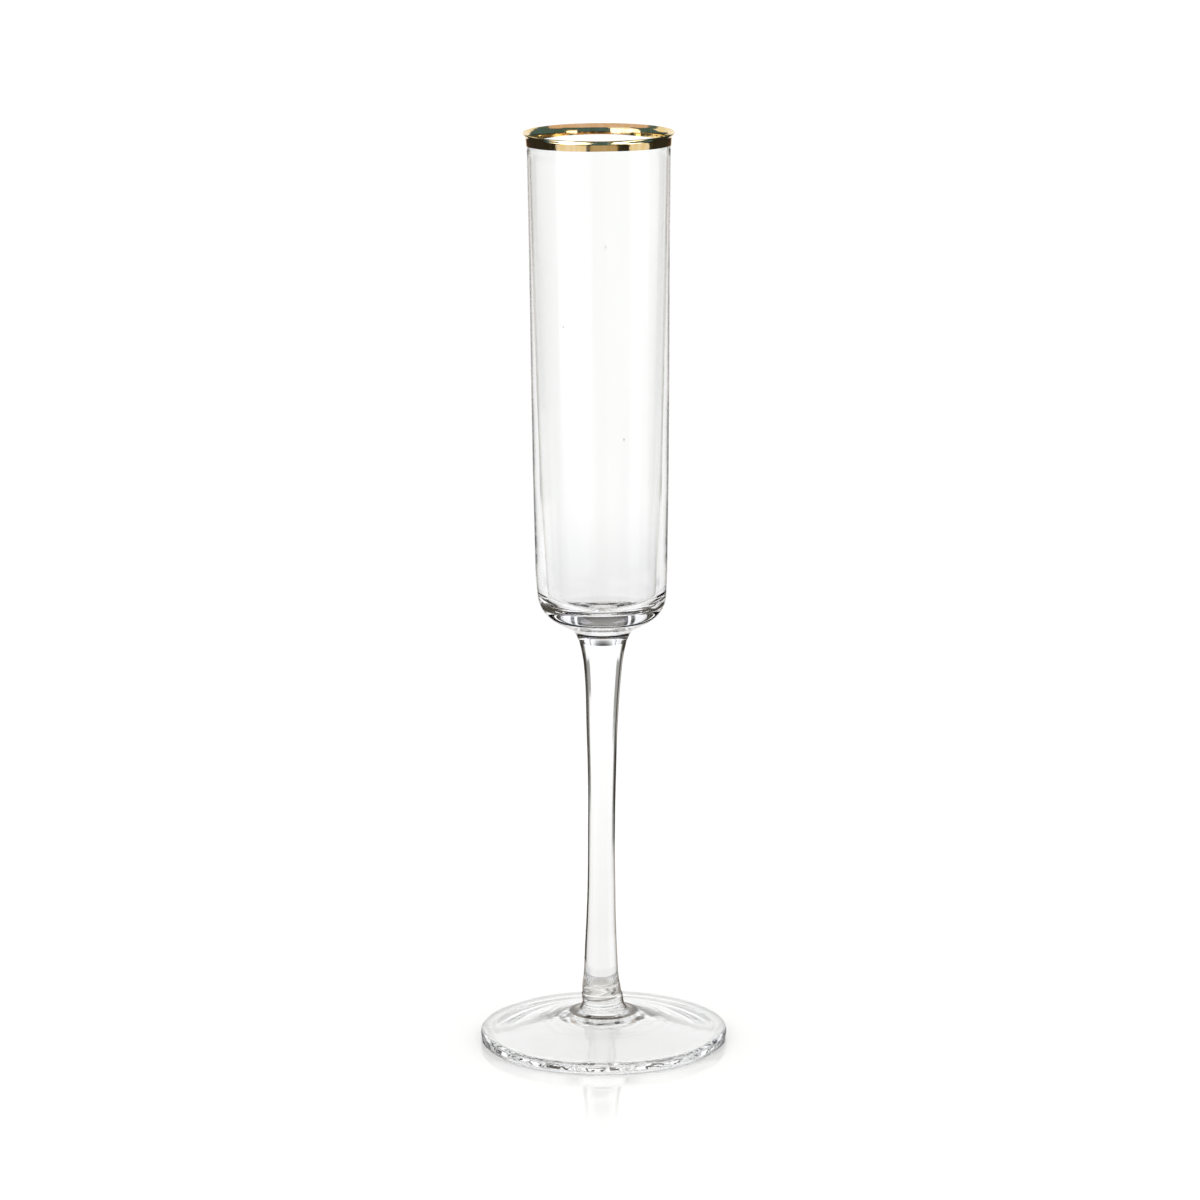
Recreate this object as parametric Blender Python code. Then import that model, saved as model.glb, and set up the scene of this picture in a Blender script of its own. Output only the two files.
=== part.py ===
# Champagne flute with a gold rim, in metres, +Z up, standing on z = 0 with its axis on Z.
# Five pieces are turned round the axis: the foot, the stem's collar, the stem, the blown bowl
# and the gold film fired over the bowl's lip. The glass pieces are joined hot on the real flute,
# so each joint here is a flat face against a flat face with a hair's gap between them.

from math import acos, atan2, ceil, cos, pi, radians, sin

import bmesh
import bpy

# Driving dimensions
HEIGHT = 0.267
SEGMENTS = 48
ARC_TOLERANCE = 0.00003
JOINT_GAP = 0.0003

FOOT_RADIUS = 0.0361
FOOT_EDGE_THICKNESS = 0.0036
FOOT_TOP_ROUNDING = 0.0012
FOOT_BOTTOM_ROUNDING = 0.0009
FOOT_SLOPE_RADIUS = 0.0240
FOOT_SLOPE_HEIGHT = 0.0051
FOOT_HUB_HEIGHT = 0.0084
FOOT_REST_INNER = 0.0320
FOOT_HOLLOW_LOW_RADIUS = 0.0240
FOOT_HOLLOW_LOW = 0.0019
FOOT_HOLLOW_HIGH_RADIUS = 0.0100
FOOT_HOLLOW_HIGH = 0.0048
FOOT_HOLLOW = 0.0053

COLLAR_RADIUS = 0.0100
COLLAR_NECK_RADIUS = 0.0060
COLLAR_TOP = 0.0142
COLLAR_FLARE = 0.0032
COLLAR_LIP = 0.0002

STEM_TOP = 0.1195
STEM_TOP_RADIUS = 0.0069
STEM_SHOULDER = 0.1150
STEM_SHOULDER_RADIUS = 0.0054
STEM_TAPER_TOP = 0.1080
STEM_TAPER_RADIUS = 0.0052
STEM_WAIST_TOP = 0.0800
STEM_WAIST_TOP_RADIUS = 0.0040
STEM_WAIST_BOTTOM = 0.0480
STEM_WAIST_RADIUS = 0.0039
STEM_SWELL = 0.0270
STEM_SWELL_RADIUS = 0.0047
STEM_BEAD_TOP = 0.0185
STEM_BEAD_TOP_RADIUS = 0.0050
STEM_BEAD = 0.0160
STEM_END_RADIUS = 0.0057

BOWL_NECK = 0.1227
BOWL_NECK_RADIUS = 0.0083
BOWL_SHOULDER = 0.1284
BOWL_SHOULDER_RADIUS = 0.0182
BOWL_LOW = 0.1380
BOWL_LOW_RADIUS = 0.0190
BOWL_LOWER = 0.1850
BOWL_LOWER_RADIUS = 0.0198
BOWL_UPPER = 0.2200
BOWL_UPPER_RADIUS = 0.0199
BOWL_HIGH_RADIUS = 0.0204
CAVITY_FLOOR = 0.1303
CAVITY_FLOOR_RADIUS = 0.0155
CAVITY_DISH = 0.0004
CAVITY_LOW = 0.1450
CAVITY_LOW_RADIUS = 0.0164
CAVITY_LOWER = 0.1760
CAVITY_LOWER_RADIUS = 0.0179
CAVITY_UPPER = 0.2160
CAVITY_UPPER_RADIUS = 0.0189
CAVITY_HIGH_RADIUS = 0.0198

LIP_RADIUS = 0.0216
LIP_INNER_RADIUS = 0.0207
LIP_INNER_ROUNDING = 0.0004
LIP_OUTER_ROUNDING = 0.0005
LIP_FLARE_BOTTOM = 0.2626
BAND_BOTTOM = 0.2636
BAND_FILM = 0.00015
BAND_GAP = 0.0001

GLASS_COLOUR = (0.93, 0.95, 0.94, 1.0)
GOLD_COLOUR = (0.83, 0.61, 0.28, 1.0)


def clear_scene():
    for obj in list(bpy.data.objects):
        bpy.data.objects.remove(obj, do_unlink=True)


def glass_material(name):
    material = bpy.data.materials.new(name)
    material.use_nodes = True
    shader = material.node_tree.nodes["Principled BSDF"]
    shader.inputs["Base Color"].default_value = GLASS_COLOUR
    shader.inputs["Roughness"].default_value = 0.02
    shader.inputs["Metallic"].default_value = 0.0
    shader.inputs["Transmission Weight"].default_value = 1.0
    shader.inputs["IOR"].default_value = 1.52
    return material


def gold_material(name):
    material = bpy.data.materials.new(name)
    material.use_nodes = True
    shader = material.node_tree.nodes["Principled BSDF"]
    shader.inputs["Base Color"].default_value = GOLD_COLOUR
    shader.inputs["Roughness"].default_value = 0.12
    shader.inputs["Metallic"].default_value = 1.0
    return material


def rounded_outline(corners):
    """Points along straight lines between (radius, height, rounding) corners, with arcs at the corners."""
    points = [corners[0][:2]]
    for before, corner, after in zip(corners, corners[1:], corners[2:]):
        r, z, rounding = corner
        if rounding == 0:
            points.append((r, z))
            continue
        angle_in = atan2(before[1] - z, before[0] - r)
        angle_out = atan2(after[1] - z, after[0] - r)
        opening = (angle_out - angle_in) % (2 * pi)
        side = 1 if opening < pi else -1
        opening = min(opening, 2 * pi - opening)
        middle = angle_in + side * opening / 2
        reach = rounding / sin(opening / 2)
        centre = (r + reach * cos(middle), z + reach * sin(middle))
        start = angle_in - side * pi / 2
        turn = pi - opening
        steps = ceil(turn / (2 * acos(max(0.5, 1 - ARC_TOLERANCE / rounding))))
        for i in range(steps + 1):
            angle = start - side * turn * i / steps
            points.append((centre[0] + rounding * cos(angle), centre[1] + rounding * sin(angle)))
    points.append(corners[-1][:2])
    return points


def turned_piece(name, outline, material, closed=False):
    """A solid of revolution. The outline runs down the outer side, or is a closed loop off the axis."""
    bm = bmesh.new()
    verts = [bm.verts.new((r, 0, z)) for r, z in outline]
    edges = [bm.edges.new(pair) for pair in zip(verts, verts[1:])]
    if closed:
        edges.append(bm.edges.new((verts[-1], verts[0])))
    bmesh.ops.spin(
        bm, geom=verts + edges, cent=(0, 0, 0), axis=(0, 0, 1),
        angle=2 * pi, steps=SEGMENTS, use_merge=True,
    )
    bmesh.ops.remove_doubles(bm, verts=bm.verts, dist=1e-6)
    bmesh.ops.dissolve_degenerate(bm, edges=bm.edges, dist=1e-7)
    bmesh.ops.recalc_face_normals(bm, faces=bm.faces)
    mesh = bpy.data.meshes.new(name)
    bm.to_mesh(mesh)
    bm.free()
    mesh.shade_smooth()
    mesh.set_sharp_from_angle(angle=radians(40))
    mesh.materials.append(material)
    piece = bpy.data.objects.new(name, mesh)
    bpy.context.scene.collection.objects.link(piece)
    return piece


def lip_outline(depth):
    """The lip's face at a depth under the gold, from its inner lower edge over the top to the outer one."""
    inner = CAVITY_HIGH_RADIUS + BAND_FILM + depth
    outer = LIP_RADIUS - depth
    top = HEIGHT - depth
    return rounded_outline([
        (inner, BAND_BOTTOM, 0),
        (inner + 0.0002, HEIGHT - 0.0016, 0.0020),
        (LIP_INNER_RADIUS + depth, top, LIP_INNER_ROUNDING - depth),
        (outer, top, LIP_OUTER_ROUNDING - depth),
        (outer - 0.0001, HEIGHT - 0.0022, 0.0060),
        (outer - 0.0005, BAND_BOTTOM, 0),
    ])


def build_gold_rim_band(material):
    loop = lip_outline(0) + list(reversed(lip_outline(BAND_FILM)))
    return turned_piece("gold_rim_band", loop, material, closed=True)


def build_bowl(material):
    cavity = rounded_outline([
        (0, CAVITY_FLOOR, 0),
        (CAVITY_FLOOR_RADIUS, CAVITY_FLOOR + CAVITY_DISH, 0.0048),
        (CAVITY_LOW_RADIUS, CAVITY_LOW, 0.0800),
        (CAVITY_LOWER_RADIUS, CAVITY_LOWER, 0.4000),
        (CAVITY_UPPER_RADIUS, CAVITY_UPPER, 0.6000),
        (CAVITY_HIGH_RADIUS, LIP_FLARE_BOTTOM, 0),
    ])
    lip = lip_outline(BAND_FILM + BAND_GAP)
    outside = rounded_outline([
        (BOWL_HIGH_RADIUS, LIP_FLARE_BOTTOM, 0),
        (BOWL_UPPER_RADIUS, BOWL_UPPER, 1.0000),
        (BOWL_LOWER_RADIUS, BOWL_LOWER, 0.6000),
        (BOWL_LOW_RADIUS, BOWL_LOW, 0.0500),
        (BOWL_SHOULDER_RADIUS, BOWL_SHOULDER, 0.0060),
        (BOWL_NECK_RADIUS, BOWL_NECK, 0.0029),
        (STEM_TOP_RADIUS, STEM_TOP + JOINT_GAP, 0),
        (0, STEM_TOP + JOINT_GAP, 0),
    ])
    return turned_piece("bowl", cavity + lip + outside, material)


def build_stem(material):
    outline = rounded_outline([
        (0, STEM_TOP, 0),
        (STEM_TOP_RADIUS, STEM_TOP, 0),
        (STEM_SHOULDER_RADIUS, STEM_SHOULDER, 0.0120),
        (STEM_TAPER_RADIUS, STEM_TAPER_TOP, 0.0600),
        (STEM_WAIST_TOP_RADIUS, STEM_WAIST_TOP, 0.0800),
        (STEM_WAIST_RADIUS, STEM_WAIST_BOTTOM, 0.1000),
        (STEM_SWELL_RADIUS, STEM_SWELL, 0.0400),
        (STEM_BEAD_TOP_RADIUS, STEM_BEAD_TOP, 0.0060),
        (STEM_END_RADIUS, STEM_BEAD, 0.0010),
        (STEM_END_RADIUS, COLLAR_TOP + JOINT_GAP, 0),
        (0, COLLAR_TOP + JOINT_GAP, 0),
    ])
    return turned_piece("stem", outline, material)


def build_stem_collar(material):
    bottom = FOOT_HUB_HEIGHT + JOINT_GAP
    outline = rounded_outline([
        (0, COLLAR_TOP, 0),
        (COLLAR_NECK_RADIUS, COLLAR_TOP, 0.0004),
        (COLLAR_NECK_RADIUS, bottom + COLLAR_LIP, COLLAR_FLARE),
        (COLLAR_RADIUS, bottom + COLLAR_LIP, 0),
        (COLLAR_RADIUS, bottom, 0),
        (0, bottom, 0),
    ])
    return turned_piece("stem_collar", outline, material)


def build_foot(material):
    outline = rounded_outline([
        (0, FOOT_HUB_HEIGHT, 0),
        (COLLAR_RADIUS, FOOT_HUB_HEIGHT, 0.0008),
        (FOOT_SLOPE_RADIUS, FOOT_SLOPE_HEIGHT, 0.0400),
        (FOOT_RADIUS, FOOT_EDGE_THICKNESS, FOOT_TOP_ROUNDING),
        (FOOT_RADIUS, 0, FOOT_BOTTOM_ROUNDING),
        (FOOT_REST_INNER, 0, 0),
        (FOOT_HOLLOW_LOW_RADIUS, FOOT_HOLLOW_LOW, 0.0400),
        (FOOT_HOLLOW_HIGH_RADIUS, FOOT_HOLLOW_HIGH, 0.0300),
        (0, FOOT_HOLLOW, 0),
    ])
    return turned_piece("foot", outline, material)


def main():
    clear_scene()
    glass = {
        name: glass_material(name)
        for name in ("bowl_glass", "stem_glass", "collar_glass", "foot_glass")
    }
    build_foot(glass["foot_glass"])
    build_stem_collar(glass["collar_glass"])
    build_stem(glass["stem_glass"])
    build_bowl(glass["bowl_glass"])
    build_gold_rim_band(gold_material("gold_lustre"))


main()
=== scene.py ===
from math import atan2, cos, pi, radians, sin

import bmesh
import bpy
from mathutils import Matrix, Vector
from mathutils.noise import noise


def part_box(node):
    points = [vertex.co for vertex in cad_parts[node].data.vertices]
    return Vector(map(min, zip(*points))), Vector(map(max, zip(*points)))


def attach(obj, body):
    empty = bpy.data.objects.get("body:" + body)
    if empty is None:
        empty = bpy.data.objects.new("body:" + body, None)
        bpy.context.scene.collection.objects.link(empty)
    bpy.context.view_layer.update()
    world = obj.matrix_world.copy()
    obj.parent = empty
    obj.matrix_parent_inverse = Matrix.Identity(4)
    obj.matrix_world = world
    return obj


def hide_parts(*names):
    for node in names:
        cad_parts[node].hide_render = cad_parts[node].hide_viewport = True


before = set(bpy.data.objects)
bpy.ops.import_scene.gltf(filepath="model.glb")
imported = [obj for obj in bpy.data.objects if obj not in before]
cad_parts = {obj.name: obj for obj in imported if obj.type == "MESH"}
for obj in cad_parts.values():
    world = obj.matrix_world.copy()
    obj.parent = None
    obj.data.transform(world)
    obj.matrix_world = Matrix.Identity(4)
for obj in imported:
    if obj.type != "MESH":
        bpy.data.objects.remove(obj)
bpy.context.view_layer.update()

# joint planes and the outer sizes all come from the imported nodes
bowlBox, bandBox, stemBox, collarBox, footBox = (
    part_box(node) for node in ("bowl", "gold_rim_band", "stem", "stem_collar", "foot")
)
rimHeight = bandBox[1].z
footRadius = footBox[1].x
bowlSeam = (bowlBox[0].z + stemBox[1].z) / 2
collarSeam = (stemBox[0].z + collarBox[1].z) / 2
hubSeam = (collarBox[0].z + footBox[1].z) / 2

flute = {
    "sides": 192,
    "cornerSteps": 12,
    "longestEdge": 0.003,  # outline edges are cut shorter than this
    "weld": 0.000002,
    "sharpAngle": 50,
    "seamReach": 0.00002,  # a fused face lies this near to its joint plane
    "seamTilt": 0.99,
    # the stem was drawn by hand, so the axis wanders a little: (height, shift along X)
    "sway": (
        (0.0000, 0.00000), (0.0085, 0.00000), (0.0180, -0.00070), (0.0260, -0.00068), (0.0520, -0.00037),
        (0.0880, 0.00000), (0.1150, 0.00048), (0.1220, 0.00048), (0.1420, 0.00015), (0.2700, 0.00015),
    ),
}


def swayAt(height):
    path = flute["sway"]
    for (low, before), (high, after) in zip(path, path[1:]):
        if height <= high:
            share = max(0.0, (height - low) / (high - low))
            return before + (after - before) * share * share * (3 - 2 * share)
    return path[-1][1]


def followSway(mesh):
    for vert in mesh.verts:
        vert.co.x += swayAt(vert.co.z)


def sharp(radius, height):
    return radius, height, 0, 0


def rounded(corners):
    return [(*corner, flute["cornerSteps"]) for corner in corners]


def drawOutline(mesh, corners, closed=False):
    # corners are (radius, height, rounding, steps), rounded by bevelling the wire's points
    points = [mesh.verts.new((corner[0], 0, corner[1])) for corner in corners]
    for pair in zip(points, points[1:] + points[:1] if closed else points[1:]):
        mesh.edges.new(pair)
    for point, (_, _, rounding, steps) in zip(points, corners):
        if rounding:
            bmesh.ops.bevel(
                mesh, geom=[point], offset=rounding, offset_type="OFFSET", segments=steps,
                profile=0.5, affect="VERTICES", material=-1,
            )
    for edge in list(mesh.edges):
        cuts = int(edge.calc_length() / flute["longestEdge"])
        if cuts:
            bmesh.ops.subdivide_edges(mesh, edges=[edge], cuts=cuts)


def spinOutline(corners, closed=False):
    mesh = bmesh.new()
    drawOutline(mesh, corners, closed)
    bmesh.ops.spin(
        mesh, geom=mesh.verts[:] + mesh.edges[:], cent=(0, 0, 0), axis=(0, 0, 1),
        angle=2 * pi, steps=flute["sides"], use_merge=True,
    )
    bmesh.ops.remove_doubles(mesh, verts=mesh.verts, dist=flute["weld"])
    bmesh.ops.recalc_face_normals(mesh, faces=mesh.faces)
    return mesh


def openSeams(mesh, seams):
    # faces where two pieces were fused hot take the second material, which can't be seen
    for face in mesh.faces:
        height = face.calc_center_median().z
        isFlat = abs(face.normal.z) > flute["seamTilt"]
        if isFlat and any(abs(height - seam) < flute["seamReach"] for seam in seams):
            face.material_index = 1


def meshObject(name, mesh, materials):
    data = bpy.data.meshes.new(name)
    mesh.to_mesh(data)
    mesh.free()
    for material in materials:
        data.materials.append(material)
    made = bpy.data.objects.new(name, data)
    bpy.context.scene.collection.objects.link(made)
    return made


def finishPiece(name, mesh, materials, node):
    piece = meshObject(name, mesh, materials)
    piece.data.shade_smooth()
    piece.data.set_sharp_from_angle(angle=radians(flute["sharpAngle"]))
    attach(piece, "root")
    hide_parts(node)
    print(name, len(piece.data.polygons), "faces")


def newMaterial(name):
    material = bpy.data.materials.new(name)
    material.use_nodes = True
    return material, material.node_tree, material.node_tree.nodes["Principled BSDF"]


def fillSockets(tree, sockets, values):
    for socket, value in zip(sockets, values):
        if isinstance(value, (int, float, tuple)):
            socket.default_value = value
        elif value is not None:
            tree.links.new(value, socket)


def mathNode(tree, operation, first, second=None):
    node = tree.nodes.new("ShaderNodeMath")
    node.operation = operation
    fillSockets(tree, node.inputs, (first, second))
    return node.outputs[0]


def vectorNode(tree, operation, first, second):
    node = tree.nodes.new("ShaderNodeVectorMath")
    node.operation = operation
    fillSockets(tree, node.inputs, (first, second))
    return node.outputs[0]


def lengthNode(tree, vector):
    node = tree.nodes.new("ShaderNodeVectorMath")
    node.operation = "LENGTH"
    tree.links.new(vector, node.inputs[0])
    return node.outputs["Value"]


def rangeNode(tree, value, fromLow, fromHigh, toLow, toHigh):
    node = tree.nodes.new("ShaderNodeMapRange")
    node.interpolation_type = "SMOOTHSTEP"
    names = ("Value", "From Min", "From Max", "To Min", "To Max")
    fillSockets(tree, [node.inputs[name] for name in names], (value, fromLow, fromHigh, toLow, toHigh))
    return node.outputs["Result"]


def mixNode(tree, factor, first, second):
    node = tree.nodes.new("ShaderNodeMix")
    node.data_type = "RGBA"
    # a Mix node's colours are its sockets 6 and 7, and the mixed colour is its output 2
    fillSockets(tree, (node.inputs[0], node.inputs[6], node.inputs[7]), (factor, first, second))
    return node.outputs[2]


glass = {
    "index": 1.50, "roughness": 0.0,
    "tint": (0.985, 0.99, 0.985, 1), "streakTint": (0.968, 0.973, 0.970, 1),
    "sheen": (0.5, 0.5, 0.5, 1),  # tints the mirror image that faces the viewer, not the edges
    "streakScale": 130, "streakStretch": 0.12,  # soft upright streaks left by blowing and drawing
    "rippleScale": 160, "rippleDepth": 0.000006,
}
gold = {
    "tint": (0.83, 0.605, 0.25, 1), "streakTint": (0.90, 0.70, 0.38, 1),
    "roughness": 0.055, "brushedRoughness": 0.13,
    "streakScale": 700, "streakStretch": 0.10,
    "rippleScale": 700, "rippleDepth": 0.000006,
}
handMarks = {
    "lowest": 0.35, "highest": 0.65,  # the part of the noise that becomes 0 to 1
    "streakDetail": 4, "rippleDetail": 2,
}


def makeHandMarks():
    # shared by glass and gold: soft streaks along the height and a faint ripple of the surface
    group = bpy.data.node_groups.new("handMarks", "ShaderNodeTree")
    for name in ("Stretch", "Streak Scale", "Ripple Scale"):
        group.interface.new_socket(name=name, in_out="INPUT", socket_type="NodeSocketFloat")
    for name in ("Streak", "Ripple"):
        group.interface.new_socket(name=name, in_out="OUTPUT", socket_type="NodeSocketFloat")
    given, made = group.nodes.new("NodeGroupInput"), group.nodes.new("NodeGroupOutput")
    place = group.nodes.new("ShaderNodeTexCoord").outputs["Object"]
    squeeze = group.nodes.new("ShaderNodeCombineXYZ")
    squeeze.inputs["X"].default_value = squeeze.inputs["Y"].default_value = 1
    group.links.new(given.outputs["Stretch"], squeeze.inputs["Z"])
    squeezed = vectorNode(group, "MULTIPLY", place, squeeze.outputs[0])
    for name, detail, vector in (
        ("Streak", handMarks["streakDetail"], squeezed), ("Ripple", handMarks["rippleDetail"], place),
    ):
        pattern = group.nodes.new("ShaderNodeTexNoise")
        pattern.inputs["Detail"].default_value = detail
        group.links.new(vector, pattern.inputs["Vector"])
        group.links.new(given.outputs[name + " Scale"], pattern.inputs["Scale"])
        mask = rangeNode(group, pattern.outputs[0], handMarks["lowest"], handMarks["highest"], 0, 1)
        group.links.new(mask, made.inputs[name])
    return group


def addHandMarks(tree, group, finish):
    marks = tree.nodes.new("ShaderNodeGroup")
    marks.node_tree = group
    marks.inputs["Stretch"].default_value = finish["streakStretch"]
    marks.inputs["Streak Scale"].default_value = finish["streakScale"]
    marks.inputs["Ripple Scale"].default_value = finish["rippleScale"]
    tint = mixNode(tree, marks.outputs["Streak"], finish["tint"], finish["streakTint"])
    return tint, marks.outputs["Streak"], marks.outputs["Ripple"]


def addBump(tree, shader, height, depth):
    bump = tree.nodes.new("ShaderNodeBump")
    bump.inputs["Distance"].default_value = depth
    tree.links.new(height, bump.inputs["Height"])
    tree.links.new(bump.outputs["Normal"], shader.inputs["Normal"])


def objectPlace(tree):
    # distance from the axis, and height
    coordinates = tree.nodes.new("ShaderNodeTexCoord")
    split = tree.nodes.new("ShaderNodeSeparateXYZ")
    tree.links.new(coordinates.outputs["Object"], split.inputs[0])
    flat = tree.nodes.new("ShaderNodeCombineXYZ")
    for axis in "XY":
        tree.links.new(split.outputs[axis], flat.inputs[axis])
    return {"radius": lengthNode(tree, flat.outputs[0]), "height": split.outputs["Z"]}


def makeGlass(name, group, piece):
    # painted shade: edge darkens glass seen along its wall, each zone along height or radius; rings are
    # spinning marks
    material, tree, shader = newMaterial(name)
    shader.inputs["IOR"].default_value = glass["index"]
    shader.inputs["Roughness"].default_value = glass["roughness"]
    shader.inputs["Metallic"].default_value = 0
    shader.inputs["Transmission Weight"].default_value = 1
    shader.inputs["Specular Tint"].default_value = glass["sheen"]
    tint, streak, relief = addHandMarks(tree, group, glass)
    place = objectPlace(tree)
    # painted shade: each zone darkens the glass towards its tint along height or radius
    for zone in piece["paintedShadeZones"]:
        mask = rangeNode(tree, place[zone["along"]], zone["from"], zone["full"], 0, 1)
        tint = mixNode(tree, mask, tint, zone["tint"])
    # painted shade: glass seen along its wall is darkened towards the edge tint
    edge = piece["edge"]
    facing = tree.nodes.new("ShaderNodeLayerWeight").outputs["Facing"]
    tint = mixNode(tree, rangeNode(tree, facing, edge["from"], edge["full"], 0, 1), tint, edge["tint"])
    tree.links.new(tint, shader.inputs["Base Color"])
    if "rings" in piece:
        rings = piece["rings"]
        wobble = mathNode(tree, "MULTIPLY", streak, rings["wobble"])
        turns = mathNode(tree, "MULTIPLY", mathNode(tree, "ADD", place["radius"], wobble), rings["pitch"])
        fade = rangeNode(tree, place["radius"], rings["inner"], rings["outer"], rings["strength"], 0)
        wave = mathNode(tree, "MULTIPLY", mathNode(tree, "SINE", turns), fade)
        relief = mathNode(tree, "ADD", relief, wave)
    addBump(tree, shader, relief, glass["rippleDepth"] * piece["ripple"])
    return material


def makeSeam():
    material, _, shader = newMaterial("fusedSeam")
    shader.inputs["Alpha"].default_value = 0
    return material


def makeGold(group):
    material, tree, shader = newMaterial("goldLustre")
    tint, _, ripple = addHandMarks(tree, group, gold)
    tree.links.new(tint, shader.inputs["Base Color"])
    wear = rangeNode(tree, ripple, 0, 1, gold["roughness"], gold["brushedRoughness"])
    tree.links.new(wear, shader.inputs["Roughness"])
    shader.inputs["Metallic"].default_value = 1
    addBump(tree, shader, ripple, gold["rippleDepth"])
    return material


rim = {
    "bandBottom": bandBox[0].z,
    # the glass lip from inside to outside, each corner (radius, depth below the top, rounding, steps) and the
    # way (outward, upward) in which it is moved to make room for the gold
    "profile": (
        (0.01995, 0.00330, 0, 0, 1, 0), (0.02005, 0.00180, 0.0005, 6, 1, 0),
        (0.02040, 0.00090, 0.0005, 6, 1, 0), (0.02120, 0.00022, 0.0003, 6, 0.5, -1),
        (0.02152, 0, 0, 0, -0.5, -1), (0.02160, 0.00012, 0, 0, -1, -0.3),
        (0.02153, 0.00034, 0.00012, 4, -1, 0), (0.02088, 0.00114, 0.00028, 8, -1, 0),
        (0.02070, 0.00330, 0, 0, -1, 0),
    ),
    "film": 0.00008, "filmGap": 0.00002,
    "brushRise": 0.00050, "brushDrop": 0.00020, "brushFade": 0.0013,
    "brushWave": 0.00008, "waveScale": 3.0, "waveStart": 0.3,
}


def lipCorners(depth):
    corners = []
    for radius, below, rounding, steps, outward, upward in rim["profile"]:
        height = max(rimHeight - below, rim["bandBottom"])
        corners.append((radius + outward * depth, height + upward * depth, rounding, steps))
    return corners


def brushEdge(mesh):
    # the gold was brushed on by hand, so its lower edge rises at the front and back,
    # and the small step in the glass beside it does the same
    for vert in mesh.verts:
        share = 1 - abs(vert.co.z - rim["bandBottom"]) / rim["brushFade"]
        if share > 0:
            angle = atan2(vert.co.y, vert.co.x)
            place = Vector((cos(angle), sin(angle), rim["waveStart"])) * rim["waveScale"]
            rise = rim["brushRise"] * sin(angle) ** 2 - rim["brushDrop"] + noise(place) * rim["brushWave"]
            vert.co.z += share * rise


def makeRim(material):
    mesh = spinOutline(lipCorners(0) + lipCorners(rim["film"])[::-1], closed=True)
    brushEdge(mesh)
    followSway(mesh)
    finishPiece("gold_band", mesh, [material], "gold_rim_band")


bowl = {
    "floor": 0.1303, "floorRadius": 0.0155, "dish": 0.0004, "floorRounding": 0.0046, "floorSteps": 16,
    # corners here and in the other pieces are (radius, height, rounding)
    "cavity": ((0.0164, 0.1450, 0.0070), (0.0179, 0.1760, 0.0140), (0.0189, 0.2160, 0.0180)),
    "cavityTop": 0.0199, "flareBottom": 0.2628,
    "outsideTop": 0.02045, "outsideRounding": 0.0001, "outsideSteps": 2,
    "outside": (
        (0.0199, 0.2200, 0.0150), (0.0198, 0.1850, 0.0150), (0.0190, 0.1380, 0.0040),
        (0.0182, 0.1284, 0.0042), (0.0083, 0.1227, 0.0010),
    ),
    "neckRadius": 0.0069,
    # seeds, tiny bubbles in the wall: across, height, radius, length over width
    "seeds": (
        (0.0017, 0.2370, 0.00016, 1.8), (0.0066, 0.1820, 0.00018, 1.6), (-0.0102, 0.2140, 0.00012, 2.2),
    ),
    "seedDepth": 0.00040, "seedDetail": 3,
    "ripple": 0.2,
    # painted shade: the edge tint darkens glass seen along its wall, and the zone darkens the bowl towards
    # its floor
    "edge": {"from": 0.70, "full": 0.84, "tint": (0.40, 0.36, 0.32, 1)},
    "paintedShadeZones": ({"along": "height", "from": 0.1620, "full": 0.1330, "tint": (0.91, 0.91, 0.915, 1)},),
}


def addSeeds(mesh):
    outside = bowl["outside"][0][0] - bowl["seedDepth"]
    for across, height, radius, stretch in bowl["seeds"]:
        depth = -(outside ** 2 - across ** 2) ** 0.5
        place = Matrix.Translation((across, depth, height)) @ Matrix.Diagonal((1, 1, stretch, 1))
        made = bmesh.ops.create_icosphere(mesh, subdivisions=bowl["seedDetail"], radius=radius, matrix=place)
        faces = {face for vert in made["verts"] for face in vert.link_faces}
        bmesh.ops.reverse_faces(mesh, faces=list(faces))


def makeBowl(materials):
    mesh = spinOutline([
        sharp(0, bowl["floor"]),
        (bowl["floorRadius"], bowl["floor"] + bowl["dish"], bowl["floorRounding"], bowl["floorSteps"]),
        *rounded(bowl["cavity"]),
        sharp(bowl["cavityTop"], bowl["flareBottom"]),
        *lipCorners(rim["film"] + rim["filmGap"]),
        (bowl["outsideTop"], bowl["flareBottom"], bowl["outsideRounding"], bowl["outsideSteps"]),
        *rounded(bowl["outside"]),
        sharp(bowl["neckRadius"], bowlSeam),
        sharp(0, bowlSeam),
    ])
    openSeams(mesh, [bowlSeam])
    brushEdge(mesh)
    addSeeds(mesh)
    followSway(mesh)
    finishPiece("flute_bowl", mesh, materials, "bowl")


stem = {
    "outline": (
        (0.0058, 0.1150, 0.0030), (0.0050, 0.1060, 0.0040), (0.0040, 0.0800, 0.0120),
        (0.0039, 0.0480, 0.0120), (0.0047, 0.0270, 0.0060), (0.0051, 0.0190, 0.0018),
        (0.0056, 0.0164, 0.0008),
    ),
    "endRadius": 0.0057,
    "ripple": 1,
    # painted shade: the edge tint darkens glass seen along its wall; the zones darken it towards the bottom
    # and more in a band at its lower end
    "edge": {"from": 0.36, "full": 0.72, "tint": (0.26, 0.23, 0.19, 1)},
    "paintedShadeZones": (
        {"along": "height", "from": 0.1050, "full": 0.0220, "tint": (0.86, 0.86, 0.855, 1)},
        {"along": "height", "from": 0.0172, "full": 0.0160, "tint": (0.78, 0.76, 0.72, 1)},
    ),
}


def makeStem(materials):
    mesh = spinOutline([
        sharp(0, bowlSeam), sharp(bowl["neckRadius"], bowlSeam),
        *rounded(stem["outline"]),
        sharp(stem["endRadius"], collarSeam), sharp(0, collarSeam),
    ])
    openSeams(mesh, [bowlSeam, collarSeam])
    followSway(mesh)
    finishPiece("flute_stem", mesh, materials, "stem")


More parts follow.
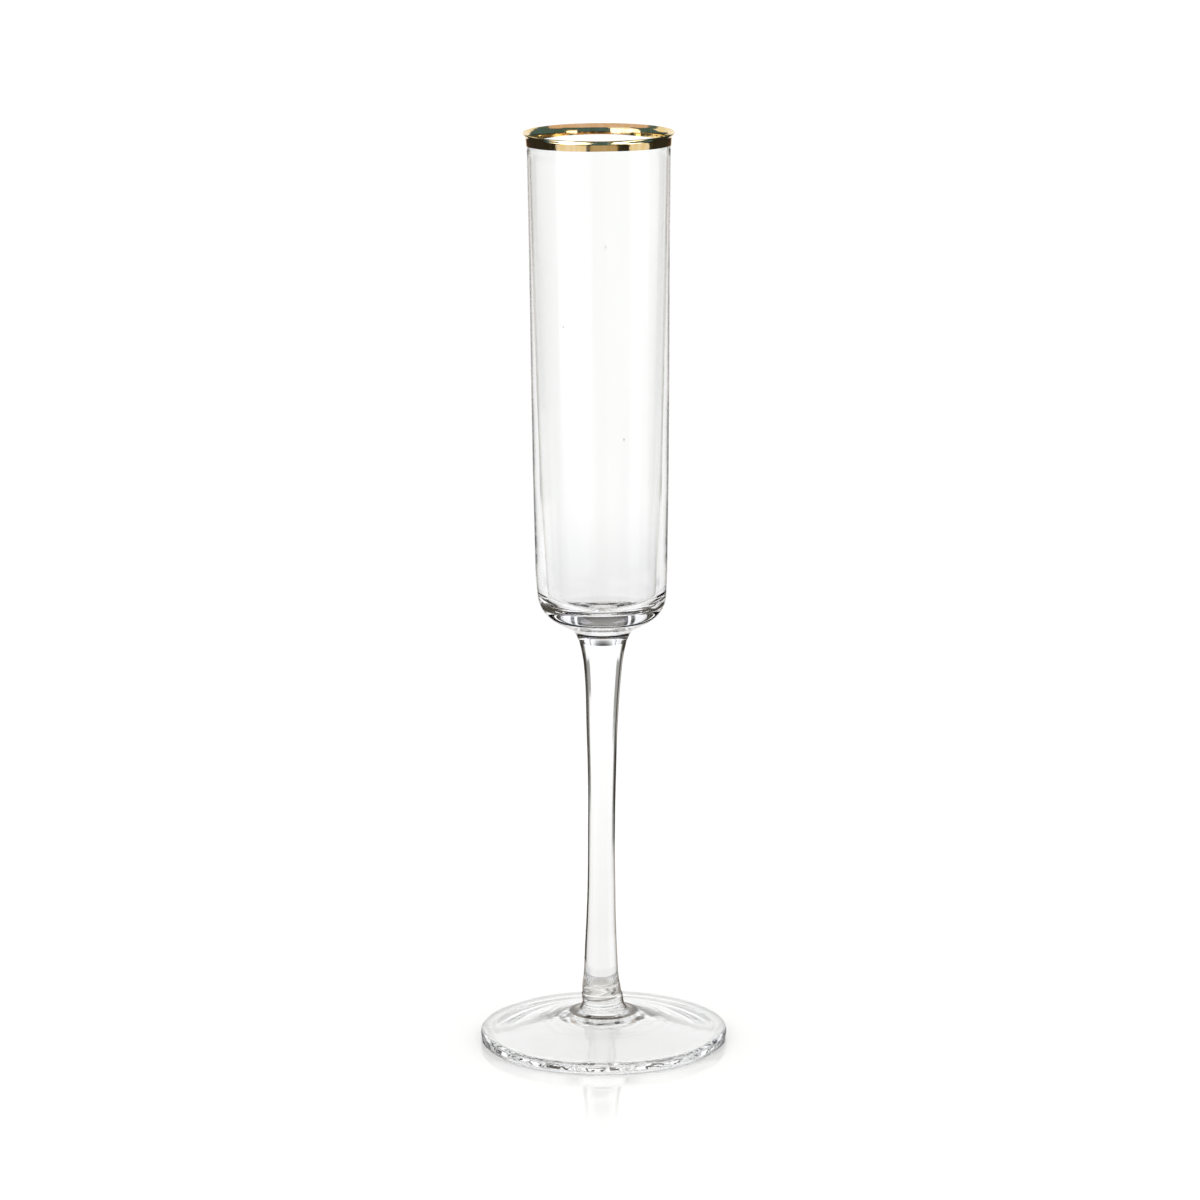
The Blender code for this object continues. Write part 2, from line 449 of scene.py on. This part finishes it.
collar = {
    "neckRadius": 0.0060, "neckDrop": 0.0004, "neckRounding": 0.0002, "neckSteps": 4,
    "flareRadius": 0.0100, "flareRise": 0.0002, "flareRounding": 0.0032, "flareSteps": 16,
    "ripple": 1,
    # painted shade: the edge tint turns glass seen along its wall almost black; the zones darken its top and
    # paint a dark ring round the flare's outer edge
    "edge": {"from": 0.30, "full": 0.70, "tint": (0.035, 0.025, 0.015, 1)},
    "paintedShadeZones": (
        {"along": "height", "from": 0.0135, "full": 0.0146, "tint": (0.82, 0.80, 0.76, 1)},
        {"along": "radius", "from": 0.0084, "full": 0.0091, "tint": (0.16, 0.12, 0.08, 1)},
    ),
}


def makeCollar(materials):
    mesh = spinOutline([
        sharp(0, collarSeam), sharp(stem["endRadius"], collarSeam),
        (collar["neckRadius"], collarSeam - collar["neckDrop"], collar["neckRounding"], collar["neckSteps"]),
        (collar["neckRadius"], hubSeam + collar["flareRise"], collar["flareRounding"], collar["flareSteps"]),
        sharp(collar["flareRadius"], hubSeam), sharp(0, hubSeam),
    ])
    openSeams(mesh, [collarSeam, hubSeam])
    followSway(mesh)
    finishPiece("flute_collar", mesh, materials, "stem_collar")


foot = {
    "slope": (0.0240, 0.0051, 0.0040),
    "edgeThickness": 0.0036,
    "topRounding": 0.0011, "topSteps": 10, "bottomRounding": 0.0009, "bottomSteps": 8,
    "restRadius": 0.0325, "restRounding": 0.001, "restSteps": 4,
    "underside": ((0.0240, 0.0019, 0.0060), (0.0100, 0.0048, 0.0040)), "hollow": 0.0054,
    "ripple": 1,
    # painted shade: the edge tint darkens glass seen right along its edge to olive grey
    "edge": {"from": 0.90, "full": 1.0, "tint": (0.45, 0.43, 0.36, 1)},
    "paintedShadeZones": (),
    "rings": {"pitch": 2100, "wobble": 0.0012, "inner": 0.012, "outer": 0.030, "strength": 0.8},
}


def makeFoot(materials):
    mesh = spinOutline([
        sharp(0, hubSeam), sharp(collar["flareRadius"], hubSeam),
        *rounded([foot["slope"]]),
        (footRadius, foot["edgeThickness"], foot["topRounding"], foot["topSteps"]),
        (footRadius, 0, foot["bottomRounding"], foot["bottomSteps"]),
        (foot["restRadius"], 0, foot["restRounding"], foot["restSteps"]),
        *rounded(foot["underside"]),
        sharp(0, foot["hollow"]),
    ])
    openSeams(mesh, [hubSeam])
    followSway(mesh)
    finishPiece("flute_foot", mesh, materials, "foot")


# Soft panels in dark surroundings, each (azimuth, half width, softness, lowest, highest, light), in degrees.
# Azimuth 0 is the front and grows to the right. The brightest panel wins where two overlap.
studio = {
    "edge": 4,  # softness of every panel's top and bottom
    "wholeTurn": 180,  # a panel of this half width goes all the way round
    # what gold and the glass's surface mirror
    "mirrorBase": (0.03, 0.03, 0.03),
    "mirrorPanels": (
        (180, 17, 4, -90, 4, (1.0, 1.0, 1.0)), (180, 26, 8, 4, 44, (1.0, 1.0, 1.0)),
        (0, 180, 0, 58, 90, (0.73, 0.59, 0.62)), (180, 90, 10, 50, 90, (0.73, 0.59, 0.62)),
        (0, 180, 0, -90, -46, (0.07, 0.15, 0.22)), (0, 180, 0, 10, 52, (0.07, 0.15, 0.22)),
        (0, 180, 0, -8, 4, (0.11, 0.065, 0.04)),
        (-46, 25, 2, -38, 56, (0.95, 0.95, 1.05)), (-46, 25, 2, 2, 30, (2.0, 2.1, 2.6)),
        (-80, 28, 3, -90, -46, (4.0, 4.2, 5.0)),
        (69, 18, 2, -38, 0, (0.93, 0.93, 0.98)), (78, 15, 3, -90, -46, (4.0, 4.2, 5.0)),
        (45, 7, 2, 6, 12, (4.0, 4.2, 5.0)),
        (45, 7, 4, 12, 20, (1.0, 1.0, 1.0)), (-135, 14, 6, 18, 36, (1.0, 1.0, 1.0)),
        (8, 21, 2, -38, -14, (0.50, 0.43, 0.33)),
    ),
    # what is seen through the glass
    "throughBase": (0.085, 0.075, 0.06),
    "throughPanels": (
        (180, 30, 5, -90, 8, (1.08, 1.08, 1.075)), (180, 39, 5, -90, -12, (1.08, 1.08, 1.075)),
        (180, 52, 5, -90, -16, (1.00, 1.00, 0.99)),
        (147, 8, 2, 0, 34, (1.1, 1.1, 1.12)), (-147, 8, 2, 0, 34, (1.1, 1.1, 1.12)),
        (161, 0.8, 0.8, 8, 40, (1.1, 1.1, 1.15)), (-161, 0.8, 0.8, 8, 40, (1.1, 1.1, 1.15)),
        (180, 14, 2, 8, 12, (0.34, 0.33, 0.31)), (180, 20, 4, 19, 60, (1.08, 1.08, 1.08)),
        (180, 44, 8, -90, 10, (0.37, 0.36, 0.34)),
        (-125, 30, 6, -60, -17, (1.12, 1.12, 1.12)),
        (-90, 30, 6, -8, 4, (1.12, 1.12, 1.12)), (45, 30, 6, -24, 4, (1.12, 1.12, 1.12)),
        (-46, 22, 6, 14, 50, (1.5, 1.5, 1.5)), (69, 17, 6, 14, 50, (1.5, 1.5, 1.5)),
    ),
    "diffuse": 1.2, "white": 1.05,
}


def panelNode(tree, azimuth, elevation, panel):
    centre, reach, soft, low, high, light = panel
    above = rangeNode(tree, elevation, radians(low - studio["edge"]), radians(low), 0, 1)
    below = rangeNode(tree, elevation, radians(high), radians(high + studio["edge"]), 1, 0)
    mask = mathNode(tree, "MULTIPLY", above, below)
    if reach < studio["wholeTurn"]:
        aside = mathNode(tree, "COSINE", mathNode(tree, "SUBTRACT", azimuth, radians(centre)))
        across = rangeNode(tree, aside, cos(radians(reach + soft)), cos(radians(reach)), 0, 1)
        mask = mathNode(tree, "MULTIPLY", across, mask)
    return vectorNode(tree, "MULTIPLY", light, mask)


def panelsNode(tree, azimuth, elevation, base, panels):
    light = base
    for panel in panels:
        light = vectorNode(tree, "MAXIMUM", panelNode(tree, azimuth, elevation, panel), light)
    return light


def grey(level):
    return level, level, level, 1


def makeWorld():
    world = bpy.data.worlds.new("studio")
    bpy.context.scene.world = world
    world.use_nodes = True
    tree = world.node_tree
    coordinates = tree.nodes.new("ShaderNodeTexCoord")
    split = tree.nodes.new("ShaderNodeSeparateXYZ")
    tree.links.new(coordinates.outputs["Generated"], split.inputs[0])
    towardsFront = mathNode(tree, "MULTIPLY", split.outputs["Y"], -1)
    azimuth = mathNode(tree, "ARCTAN2", split.outputs["X"], towardsFront)
    elevation = mathNode(tree, "ARCSINE", split.outputs["Z"])
    mirrored = panelsNode(tree, azimuth, elevation, studio["mirrorBase"], studio["mirrorPanels"])
    through = panelsNode(tree, azimuth, elevation, studio["throughBase"], studio["throughPanels"])
    path = tree.nodes.new("ShaderNodeLightPath")
    isMirror = mathNode(tree, "MULTIPLY", path.outputs["Is Reflection Ray"], path.outputs["Is Glossy Ray"])
    onTable = mathNode(tree, "GREATER_THAN", path.outputs["Diffuse Depth"], 0.5)
    seen = mixNode(tree, path.outputs["Is Transmission Ray"], grey(studio["diffuse"]), through)
    seen = mixNode(tree, isMirror, seen, mirrored)
    seen = mixNode(tree, onTable, seen, grey(studio["diffuse"]))
    seen = mixNode(tree, path.outputs["Is Camera Ray"], seen, grey(studio["white"]))
    tree.links.new(seen, tree.nodes["Background"].inputs["Color"])


table = {
    "nearRadius": 0.060, "farRadius": 3.0, "sides": 128,
    "gap": 0.00008,  # keeps the glass just off the table
    "colour": (0.88, 0.88, 0.87, 1),
    "polish": 1.0, "polishReach": 0.090, "polishEdge": 0.001, "polishRoughness": 0.05, "polishIndex": 2.0,
    "glow": 0.26, "glowEdge": 0.004,  # makes up for the light that the foot takes from the table below it
}


def makeTableTop():
    material, tree, shader = newMaterial("tableTop")
    shader.inputs["Base Color"].default_value = table["colour"]
    shader.inputs["Roughness"].default_value = 1
    shader.inputs["Specular IOR Level"].default_value = 0
    shader.inputs["Coat Roughness"].default_value = table["polishRoughness"]
    shader.inputs["Coat IOR"].default_value = table["polishIndex"]
    shader.inputs["Emission Color"].default_value = grey(1)
    # polished around the foot, and faintly glowing under it
    radius = lengthNode(tree, tree.nodes.new("ShaderNodeTexCoord").outputs["Object"])
    fade = rangeNode(tree, radius, footRadius, table["polishReach"], table["polish"], 0)
    outside = rangeNode(tree, radius, footRadius - table["polishEdge"], footRadius, 0, 1)
    tree.links.new(mathNode(tree, "MULTIPLY", fade, outside), shader.inputs["Coat Weight"])
    inside = rangeNode(tree, radius, footRadius - table["glowEdge"], footRadius, table["glow"], 0)
    tree.links.new(inside, shader.inputs["Emission Strength"])
    return material


def makeTable(material):
    # only the near disc is seen through the glass
    near, far = table["nearRadius"], table["farRadius"]
    for name, inner, outer in (("table_near", 0, near), ("table_far", near, far)):
        mesh = bmesh.new()
        bmesh.ops.create_circle(mesh, cap_ends=not inner, segments=table["sides"], radius=inner or outer)
        if inner:
            grown = bmesh.ops.extrude_edge_only(mesh, edges=mesh.edges[:])
            moved = [item for item in grown["geom"] if isinstance(item, bmesh.types.BMVert)]
            bmesh.ops.scale(mesh, vec=(outer / inner,) * 3, verts=moved)
        bmesh.ops.translate(mesh, vec=(0, 0, -table["gap"]), verts=mesh.verts)
        bmesh.ops.recalc_face_normals(mesh, faces=mesh.faces)
        top = meshObject(name, mesh, [material])
        top.visible_glossy = False
        top.visible_transmission = not inner


camera = {
    "distance": 1.396, "height": 0.4344, "aside": -0.0003, "pitch": 12.235, "roll": -0.36,
    "lens": 148.6, "sensor": 36, "nearest": 0.05, "farthest": 20,
}


def makeCamera():
    data = bpy.data.cameras.new("camera")
    data.sensor_width = camera["sensor"]
    data.lens = camera["lens"]
    data.clip_start, data.clip_end = camera["nearest"], camera["farthest"]
    eye = bpy.data.objects.new("camera", data)
    eye.matrix_world = (
        Matrix.Translation((camera["aside"], -camera["distance"], camera["height"]))
        @ Matrix.Rotation(radians(90 - camera["pitch"]), 4, "X")
        @ Matrix.Rotation(radians(camera["roll"]), 4, "Z")
    )
    bpy.context.scene.collection.objects.link(eye)
    bpy.context.scene.camera = eye


seamFinish = makeSeam()
handMarksGroup = makeHandMarks()
print("finishes ready")
makeBowl([makeGlass("bowlGlass", handMarksGroup, bowl), seamFinish])
makeRim(makeGold(handMarksGroup))
makeStem([makeGlass("stemGlass", handMarksGroup, stem), seamFinish])
makeCollar([makeGlass("collarGlass", handMarksGroup, collar), seamFinish])
makeFoot([makeGlass("footGlass", handMarksGroup, foot), seamFinish])
print("glass and gold made")
makeWorld()
makeTable(makeTableTop())
makeCamera()
print("studio, table and camera ready")

# thick clear glass needs many bounces, or its edges turn black
scene = bpy.context.scene
scene.view_settings.view_transform = "Standard"
scene.cycles.max_bounces = 48
scene.cycles.transmission_bounces = 48
scene.cycles.glossy_bounces = 24
scene.cycles.transparent_max_bounces = 24
scene.cycles.use_denoising = True
